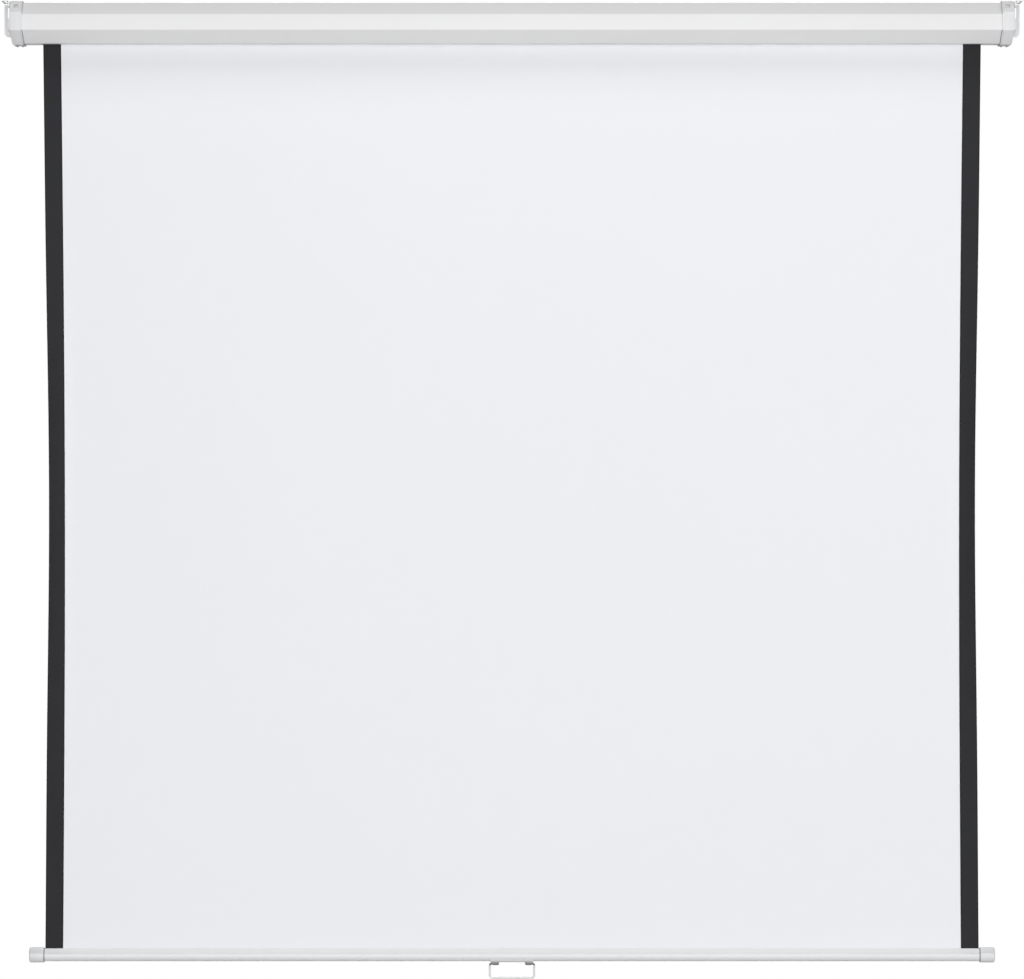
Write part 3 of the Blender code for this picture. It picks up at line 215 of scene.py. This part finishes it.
# %% [markdown]
# ## Smooth round faces
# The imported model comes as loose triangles. Each node gets a small stack of modifiers: first the
# triangles are welded, then edges under 32 degrees are shaded smooth and the others stay crisp.
# Editing the meshes would do the same, but modifiers leave the CAD mesh itself as it is.

# %% Smoothing
CRISP_ANGLE = math.radians(32)
WELD_GAP = 0.00001


def smoothing_group():
    group = bpy.data.node_groups.new("crisp edges", "GeometryNodeTree")
    group.is_modifier = True
    group.interface.new_socket("Geometry", in_out="INPUT", socket_type="NodeSocketGeometry")
    group.interface.new_socket("Geometry", in_out="OUTPUT", socket_type="NodeSocketGeometry")
    start = group.nodes.new("NodeGroupInput")
    end = group.nodes.new("NodeGroupOutput")
    faces = group.nodes.new("GeometryNodeSetShadeSmooth")
    faces.domain = "FACE"
    edges = group.nodes.new("GeometryNodeSetShadeSmooth")
    edges.domain = "EDGE"
    angle = group.nodes.new("GeometryNodeInputMeshEdgeAngle")
    gentle = group.nodes.new("FunctionNodeCompare")
    gentle.operation = "LESS_THAN"
    gentle.inputs["B"].default_value = CRISP_ANGLE
    group.links.new(angle.outputs["Unsigned Angle"], gentle.inputs["A"])
    group.links.new(start.outputs[0], faces.inputs["Geometry"])
    group.links.new(faces.outputs[0], edges.inputs["Geometry"])
    group.links.new(gentle.outputs["Result"], edges.inputs["Shade Smooth"])
    group.links.new(edges.outputs[0], end.inputs[0])
    return group


crisp = smoothing_group()
for node in nodes.values():
    normals = node.data.attributes.get("custom_normal")
    if normals:
        node.data.attributes.remove(normals)
    weld = node.modifiers.new("weld", "WELD")
    weld.merge_threshold = WELD_GAP
    node.modifiers.new("crisp edges", "NODES").node_group = crisp
print("smoothed", len(nodes), "nodes")

# %% [markdown]
# ## Finishes
# Powder coat, moulded plastic, zinc and cloth differ by their grain more than by their colour. An
# even colour would look like none of them, so every finish is made of noise at the real scale of
# its grain. The helper builds a Principled material whose colour wavers between two close tones,
# with a fine bump. Coordinates are the object's own, in metres, so a scale of 1000 gives grains
# of about a millimetre.

# %% Finish helper
ROUGHNESS_SWING = 0.05
GRAIN_HEIGHT = 0.0004


def grained(name, light, dark, rough, grain, bump, patch=4.0, metallic=0.0, specular=0.5):
    material = bpy.data.materials.new(name)
    material.use_nodes = True
    tree = material.node_tree
    shader = tree.nodes["Principled BSDF"]
    shader.inputs["Metallic"].default_value = metallic
    shader.inputs["Specular IOR Level"].default_value = specular
    place = tree.nodes.new("ShaderNodeTexCoord")
    patches = tree.nodes.new("ShaderNodeTexNoise")
    patches.inputs["Scale"].default_value = patch
    patches.inputs["Detail"].default_value = 3.0
    tree.links.new(place.outputs["Object"], patches.inputs["Vector"])
    tones = tree.nodes.new("ShaderNodeMix")
    tones.data_type = "RGBA"
    tones.inputs["A"].default_value = (*dark, 1)
    tones.inputs["B"].default_value = (*light, 1)
    tree.links.new(patches.outputs["Fac"], tones.inputs["Factor"])
    tree.links.new(tones.outputs["Result"], shader.inputs["Base Color"])
    grains = tree.nodes.new("ShaderNodeTexNoise")
    grains.inputs["Scale"].default_value = grain
    grains.inputs["Detail"].default_value = 2.0
    tree.links.new(place.outputs["Object"], grains.inputs["Vector"])
    spread = tree.nodes.new("ShaderNodeMapRange")
    spread.inputs["To Min"].default_value = rough - ROUGHNESS_SWING
    spread.inputs["To Max"].default_value = rough + ROUGHNESS_SWING
    tree.links.new(grains.outputs["Fac"], spread.inputs["Value"])
    tree.links.new(spread.outputs["Result"], shader.inputs["Roughness"])
    relief = tree.nodes.new("ShaderNodeBump")
    relief.inputs["Strength"].default_value = bump
    relief.inputs["Distance"].default_value = GRAIN_HEIGHT
    tree.links.new(grains.outputs["Fac"], relief.inputs["Height"])
    tree.links.new(relief.outputs["Normal"], shader.inputs["Normal"])
    return material


coat = grained("white powder coat", (0.785, 0.79, 0.80), (0.76, 0.765, 0.775),
               rough=0.42, grain=1400, bump=0.25)
shell_coat = grained("casing powder coat", (0.785, 0.785, 0.787), (0.76, 0.76, 0.762),
                     rough=0.42, grain=1400, bump=0.25)
# The bracket paint is lighter than the other white finishes: painted light for the ears, which stand
# partly in the end caps' shade.
bracket_paint_lightened = grained("bracket paint", (0.88, 0.885, 0.89), (0.86, 0.865, 0.87),
                        rough=0.40, grain=1300, bump=0.25)
plastic = grained("white moulded plastic", (0.775, 0.78, 0.795), (0.75, 0.755, 0.77),
                  rough=0.48, grain=2600, bump=0.20)
zinc = grained("zinc plated steel", (0.66, 0.67, 0.68), (0.52, 0.53, 0.54),
               rough=0.36, grain=900, bump=0.3, patch=60, metallic=1.0)
dark_steel = grained("oiled spring steel", (0.19, 0.19, 0.20), (0.12, 0.12, 0.13),
                     rough=0.38, grain=1200, bump=0.3, patch=80, metallic=1.0)
dull_zinc = grained("dulled zinc screws", (0.50, 0.51, 0.52), (0.36, 0.37, 0.38),
                    rough=0.52, grain=900, bump=0.3, patch=90, metallic=0.85)
nylon = grained("natural nylon", (0.74, 0.73, 0.68), (0.70, 0.69, 0.63),
                rough=0.5, grain=1500, bump=0.2)
hard_finishes = [coat, shell_coat, bracket_paint_lightened, plastic, zinc, dark_steel, dull_zinc, nylon]
print("finishes:", [material.name for material in hard_finishes])

# %% [markdown]
# ## Painted shade in recesses and undersides
# A narrow recess between two white pieces, or the underside of a small part, lies in shade. So
# the helper copies a finish and paints that shade into its colour by place. It could be a material
# of its own on a few faces, but the CAD faces don't end where the shade does. Each place is a list
# of tests on the object's own coordinates or normals, with the grey to use where all of them hold;
# a later place covers an earlier one. "beyond" and "within" measure from the middle on both sides,
# "below" takes the value as it is.

# %% Painted shade helper
TESTS = {
    "beyond": ("ABSOLUTE", "GREATER_THAN"),
    "within": ("ABSOLUTE", "LESS_THAN"),
    "below": ("SUBTRACT", "LESS_THAN"),
}
BLUE_TINT = 0.01


def painted_shade_mask(tree, where, tests):
    mask = None
    for source, axis, kind, limit in tests:
        split = tree.nodes.new("ShaderNodeSeparateXYZ")
        tree.links.new(where.outputs[source], split.inputs[0])
        size = tree.nodes.new("ShaderNodeMath")
        size.inputs[1].default_value = 0.0
        test = tree.nodes.new("ShaderNodeMath")
        test.inputs[1].default_value = limit
        size.operation, test.operation = TESTS[kind]
        tree.links.new(split.outputs[axis], size.inputs[0])
        tree.links.new(size.outputs[0], test.inputs[0])
        if mask:
            both = tree.nodes.new("ShaderNodeMath")
            both.operation = "MULTIPLY"
            tree.links.new(mask, both.inputs[0])
            tree.links.new(test.outputs[0], both.inputs[1])
            mask = both.outputs[0]
        else:
            mask = test.outputs[0]
    return mask


def darkened(material, name, painted_shades):
    material = material.copy()
    material.name = name
    tree = material.node_tree
    colour = tree.nodes["Principled BSDF"].inputs["Base Color"]
    where = tree.nodes.new("ShaderNodeTexCoord")
    # Each grey is painted shade, mixed over the finish's own colour where its tests hold.
    for tests, grey in painted_shades:
        tones = colour.links[0].from_socket
        mix = tree.nodes.new("ShaderNodeMix")
        mix.data_type = "RGBA"
        mix.inputs["B"].default_value = (grey, grey, grey + BLUE_TINT, 1)
        tree.links.new(painted_shade_mask(tree, where, tests), mix.inputs["Factor"])
        tree.links.new(tones, mix.inputs["A"])
        tree.links.new(mix.outputs["Result"], colour)
    return material


print("painted shade tests:", ", ".join(TESTS))

# %% [markdown]
# ## Where the shade is painted
# The mouth of each end cap's sleeve gets a painted shade line against the casing, darker in its
# lower half, and the ribs under the cap get the cap's shadow painted on. The thin neck of each bar
# cap gets a painted shade line too. The handle's barrels get the bar's shadow painted on, and so do
# the wire's bent ends. The ceiling ears get painted shade underneath. A shader could measure how
# enclosed each point is, but it would darken every corner alike, so the few places are listed, in
# metres from the origin.

# %% Painted shade places
STEEP_NORMAL = 0.5
MOUTH_X = 0.785
FRONT_FACE_Z = 0.0125
RIBS_Z = -0.0343
BAR_NECK_X = 0.7489
BARREL_Z = 1.5004
WIRE_BEND_Z = 1.5052
EAR_Z = 0.03

# Painted shade on each end cap's sleeve mouth; low_mouth paints it darker in the lower half.
mouth = [
    ("Normal", "X", "beyond", STEEP_NORMAL),
    ("Object", "X", "within", MOUTH_X),
    ("Object", "Z", "beyond", FRONT_FACE_Z),
]
low_mouth = mouth + [("Object", "Z", "below", 0.0)]
# Painted shade on the ribs under each end cap, the cap's shadow.
ribs = [("Object", "Z", "below", RIBS_Z)]
# Painted shade line on the neck of each bar cap.
bar_neck = [("Object", "X", "within", BAR_NECK_X)]
# The bar's shadow painted on the handle's barrels.
barrels = [("Object", "Z", "beyond", BARREL_Z)]
# The bar's shadow painted on the bent ends of the wire.
wire_ends = [("Object", "Z", "within", WIRE_BEND_Z)]
# Painted shade under the ceiling ears.
ear_underside = [("Normal", "Z", "below", -STEEP_NORMAL), ("Object", "Z", "beyond", EAR_Z)]

cap_plastic = darkened(plastic, "end cap plastic with painted shade", [(mouth, 0.50), (low_mouth, 0.27), (ribs, 0.34)])
bar_cap_plastic = darkened(plastic, "bar cap plastic with painted shade", [(bar_neck, 0.26)])
plate_coat = darkened(coat, "handle plate coat with painted shadow", [(barrels, 0.17)])
wire_coat = darkened(coat, "handle wire with painted shadow", [(wire_ends, 0.12)])
ear_paint = darkened(bracket_paint_lightened, "bracket paint with painted shade under the ears", [(ear_underside, 0.36)])
print("with seams:", [m.name for m in (cap_plastic, bar_cap_plastic, plate_coat, wire_coat, ear_paint)])

# %% [markdown]
# ## Dressing the rigid pieces
# The record gives each node a material slot, and one table turns the slots into finishes. Naming
# all the nodes would be longer and would miss a new one. A second table, by a part of the node's
# name, holds the pieces that differ from the rest of their slot.

# %% Slots to finishes
finish_of_slot = {
    "coated_steel": coat,
    "moulded_plastic": plastic,
    "zinc_steel": zinc,
    "spring_steel": dark_steel,
    "nylon": nylon,
}
own_finish = {
    "casing": shell_coat,
    "screw": dull_zinc,
    "end_cap": cap_plastic,
    "bar_cap": bar_cap_plastic,
    "handle_plate": plate_coat,
    "handle_bail": wire_coat,
    "hanger_bracket": ear_paint,
}
slot_of_node = {entry["node"]: entry["material_slot"] for entry in frame["record"]["subparts"]}


def dress(node, finish):
    node.data.materials.clear()
    node.data.materials.append(finish)


dressed = 0
for name, node in nodes.items():
    finish = finish_of_slot.get(slot_of_node[name])
    for part_of_name, own in own_finish.items():
        if part_of_name in name:
            finish = own
    if finish:
        dress(node, finish)
        dressed += 1
print("dressed", dressed, "of", len(nodes), "nodes; the others are cloth")

# %% [markdown]
# ## The shape of the hanging sheet
# The sheet falls from the back of the roller, 10.5 mm in front of the wall. The bar stretches it
# downwards, so it necks in a little at half height, and its free edges curl towards the
# audience. A cloth simulation would find folds that a stretched sheet doesn't have, so one
# function gives every point: `across` is the distance from the middle along the cloth, `down` the
# distance below the roller, and `lift` the height above the cloth's middle layer, so the sheet
# and the tapes on it share one surface.

# %% Sheet surface
CLOTH_HALF = 0.750
CLOTH_THICK = 0.0004
CASE_HALF = 0.0325
DROP = 1.4784
HEM_NARROWING = 0.0035
WAIST = 0.0045
CURL_BAND = 0.045
CURL_ANGLE = math.radians(45)
NO_CURL = 1e-6


def hanging_point(across, down, lift):
    share = min(max((down - CASE_HALF) / (DROP - CASE_HALF), 0.0), 1.0)
    narrowing = HEM_NARROWING * share + WAIST * math.sin(math.pi * share)
    edge_slope = CURL_ANGLE * math.sin(math.pi * share) ** 2
    flat = CLOTH_HALF - CURL_BAND
    x, slope, forward = abs(across), 0.0, 0.0
    if x > flat and edge_slope > NO_CURL:
        bend = CURL_BAND / edge_slope
        slope = (x - flat) / bend
        x = flat + bend * math.sin(slope)
        forward = bend * (1 - math.cos(slope))
    x = x * (1 - narrowing / CLOTH_HALF) - lift * math.sin(slope)
    return Vector((math.copysign(x, across), SHEET_Y - forward - lift * math.cos(slope), -down))


print("edge at half height:", [round(v, 4) for v in hanging_point(CLOTH_HALF, DROP / 2, 0)])

# %% [markdown]
# ## Making cloth from two grids
# Cloth has a real thickness, so a sheet is two grids of points, front and back, joined round the
# rim. One grid with a Solidify modifier would be shorter to write, but here both faces are placed
# exactly. Grids are stored with a UV map that runs once across and once down, which the tape's
# finish uses to find its edges.

# %% Cloth mesh helper
RIM_ANGLE = math.radians(50)


def cloth_object(name, front, back, material):
    rows, columns = len(front), len(front[0])
    points = [p for grid in (front, back) for row in grid for p in row]
    layer = rows * columns

    def at(side, i, j):
        return side * layer + i * columns + j

    faces = []
    for i in range(rows - 1):
        for j in range(columns - 1):
            faces.append((at(0, i, j), at(0, i + 1, j), at(0, i + 1, j + 1), at(0, i, j + 1)))
            faces.append((at(1, i, j), at(1, i, j + 1), at(1, i + 1, j + 1), at(1, i + 1, j)))
    last = columns - 1
    for i in range(rows - 1):
        faces.append((at(0, i, 0), at(1, i, 0), at(1, i + 1, 0), at(0, i + 1, 0)))
        faces.append((at(0, i, last), at(0, i + 1, last), at(1, i + 1, last), at(1, i, last)))
    last = rows - 1
    for j in range(columns - 1):
        faces.append((at(0, 0, j), at(0, 0, j + 1), at(1, 0, j + 1), at(1, 0, j)))
        faces.append((at(0, last, j), at(1, last, j), at(1, last, j + 1), at(0, last, j + 1)))
    mesh = bpy.data.meshes.new(name)
    mesh.from_pydata(points, [], faces)
    uv = mesh.uv_layers.new(name="cloth")
    for loop in mesh.loops:
        k = loop.vertex_index % layer
        uv.data[loop.index].uv = ((k % columns) / (columns - 1), (k // columns) / (rows - 1))
    mesh.shade_smooth()
    mesh.set_sharp_from_angle(angle=RIM_ANGLE)
    mesh.materials.append(material)
    obj = bpy.data.objects.new(name, mesh)
    scene.collection.objects.link(obj)
    print(name, "has", len(points), "points")
    return obj


print(f"cloth edges sharper than {math.degrees(RIM_ANGLE):.0f} degrees stay crisp")

# %% [markdown]
# ## The screen cloth
# Below the straight fall the cloth slips through the bar's slot and wraps the hem rod, where it is
# sealed to itself. The loop is a circle round the rod, entered along a tangent. It could be one
# mesh with the rest, but then the bar could not carry it: the hanging part rides with the casing,
# and the hem travels with the bar. So they are two pieces that meet at the bar's slot.
# The turns of cloth on the roller are a CAD node and take the same finish.

# %% Screen cloth
ROWS = 90
FLAT_COLUMNS = 30
CURL_COLUMNS = 12
LOOP_ROWS = 20
LOOP_AIR = 0.0003
LOOP_TAIL = math.radians(10)
BAR_WALL = 0.0010
rod_low, rod_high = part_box("hem_rod")
ROD_Z = (rod_low.z + rod_high.z) / 2
ROD_RADIUS = (rod_high.z - rod_low.z) / 2
LOOP_RADIUS = ROD_RADIUS + LOOP_AIR + CLOTH_THICK / 2
SLOT_BOTTOM = -DROP - BAR_WALL - ROD_Z


def cloth_columns():
    curl = [CLOTH_HALF - CURL_BAND * k / CURL_COLUMNS for k in range(CURL_COLUMNS + 1)]
    flat_half = CLOTH_HALF - CURL_BAND
    middle = [-flat_half + 2 * flat_half * k / FLAT_COLUMNS for k in range(1, FLAT_COLUMNS)]
    return [-u for u in curl] + middle + curl[::-1]


def hem_stations():
    leave = math.acos(LOOP_RADIUS / SLOT_BOTTOM)
    start = math.pi / 2 + leave
    end = 5 * math.pi / 2 - leave - LOOP_TAIL
    stations = [(0.0, SLOT_BOTTOM, -1.0, 0.0)]
    for k in range(LOOP_ROWS + 1):
        turn = start + (end - start) * k / LOOP_ROWS
        c, s = math.cos(turn), math.sin(turn)
        stations.append((LOOP_RADIUS * c, LOOP_RADIUS * s, c, s))
    return stations


def screen_grid(lift):
    columns = cloth_columns()
    fall = [CASE_HALF + (DROP - CASE_HALF) * k / ROWS for k in range(ROWS + 1)]
    downs = [0.0, CASE_HALF / 2] + fall
    return [[hanging_point(u, down, lift) for u in columns] for down in downs]


def hem_grid(lift):
    columns = cloth_columns()
    grid = [[hanging_point(u, DROP, lift) for u in columns]]
    width = 1 - HEM_NARROWING / CLOTH_HALF
    for y, z, ny, nz in hem_stations():
        row_y = SHEET_Y + y + lift * ny
        row_z = ROD_Z + z + lift * nz
        grid.append([Vector((u * width, row_y, row_z)) for u in columns])
    return grid


screen_white = grained("matte screen coating", (0.885, 0.892, 0.926), (0.865, 0.872, 0.906),
                       rough=0.9, grain=3000, bump=0.15, patch=1.3, specular=0.2)
dress(nodes["fabric_on_roller"], screen_white)
half = CLOTH_THICK / 2
cloth = cloth_object("screen_cloth", screen_grid(half), screen_grid(-half), screen_white)
hem = cloth_object("screen_hem", hem_grid(half), hem_grid(-half), screen_white)

# %% [markdown]
# ## The black edge tapes
# A black tape is bonded to the face along each edge. It frames the picture and stiffens the edge.
# Its finish is darker along both long edges than in its middle. A black stripe in the sheet's own
# finish would have no thickness, so the tape is a cloth piece of its own. It lies on the same
# surface as the sheet, a hair in front of it.

# %% Edge tapes
TAPE_WIDTH = 0.0285
TAPE_THICK = 0.0003
TAPE_AIR = 0.0003
TAPE_COLUMNS = 8
TAPE_TOP = -max(v.co.z for v in nodes["border_left"].data.vertices)
EDGE_SHARE = 0.09
EDGE_TONE = 0.35


def tape_finish():
    material = grained("black edge tape", (0.020, 0.020, 0.022), (0.014, 0.014, 0.016),
                       rough=0.78, grain=2400, bump=0.3, patch=30, specular=0.25)
    tree = material.node_tree
    shader = tree.nodes["Principled BSDF"]
    tones = shader.inputs["Base Color"].links[0].from_socket
    uv = tree.nodes.new("ShaderNodeUVMap")
    uv.uv_map = "cloth"
    split = tree.nodes.new("ShaderNodeSeparateXYZ")
    tree.links.new(uv.outputs["UV"], split.inputs[0])
    edges = tree.nodes.new("ShaderNodeValToRGB")
    ramp = edges.color_ramp
    ramp.elements[0].position = 0.0
    ramp.elements[0].color = (EDGE_TONE, EDGE_TONE, EDGE_TONE, 1)
    ramp.elements[1].position = EDGE_SHARE
    ramp.elements[1].color = (1, 1, 1, 1)
    for position, value in ((1 - EDGE_SHARE, 1.0), (1.0, EDGE_TONE)):
        ramp.elements.new(position).color = (value, value, value, 1)
    tree.links.new(split.outputs["X"], edges.inputs["Fac"])
    darken = tree.nodes.new("ShaderNodeMix")
    darken.data_type = "RGBA"
    darken.blend_type = "MULTIPLY"
    darken.inputs["Factor"].default_value = 1.0
    tree.links.new(tones, darken.inputs["A"])
    tree.links.new(edges.outputs["Color"], darken.inputs["B"])
    tree.links.new(darken.outputs["Result"], shader.inputs["Base Color"])
    return material


def tape_grid(side, lift):
    cells = range(TAPE_COLUMNS + 1)
    columns = sorted(side * (CLOTH_HALF - TAPE_WIDTH * k / TAPE_COLUMNS) for k in cells)
    length = DROP - TAPE_AIR - CASE_HALF
    downs = [TAPE_TOP] + [CASE_HALF + length * k / ROWS for k in range(ROWS + 1)]
    return [[hanging_point(u, down, lift) for u in columns] for down in downs]


tape_black = tape_finish()
low = CLOTH_THICK / 2 + TAPE_AIR
high = low + TAPE_THICK
tapes = {}
for side, label in ((-1, "left"), (1, "right")):
    front, back = tape_grid(side, high), tape_grid(side, low)
    tapes[label] = cloth_object(f"edge_tape_{label}", front, back, tape_black)

# %% [markdown]
# ## Which body carries the cloth
# When the bar goes up, the real cloth winds onto the roller. A growing roll can't be shown by the
# joints here. The cloth and its tapes ride with the casing, in place of the CAD sheet and borders,
# which are hidden, and the hem rides on the bar itself.

# %% Riding with the casing and the bar
pieces = [cloth, tapes["left"], tapes["right"]]
for piece, node in zip(pieces, ("projection_sheet", "border_left", "border_right")):
    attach(piece, "casing")
    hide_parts(node)
    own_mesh(piece)
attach(hem, "bottom_bar")
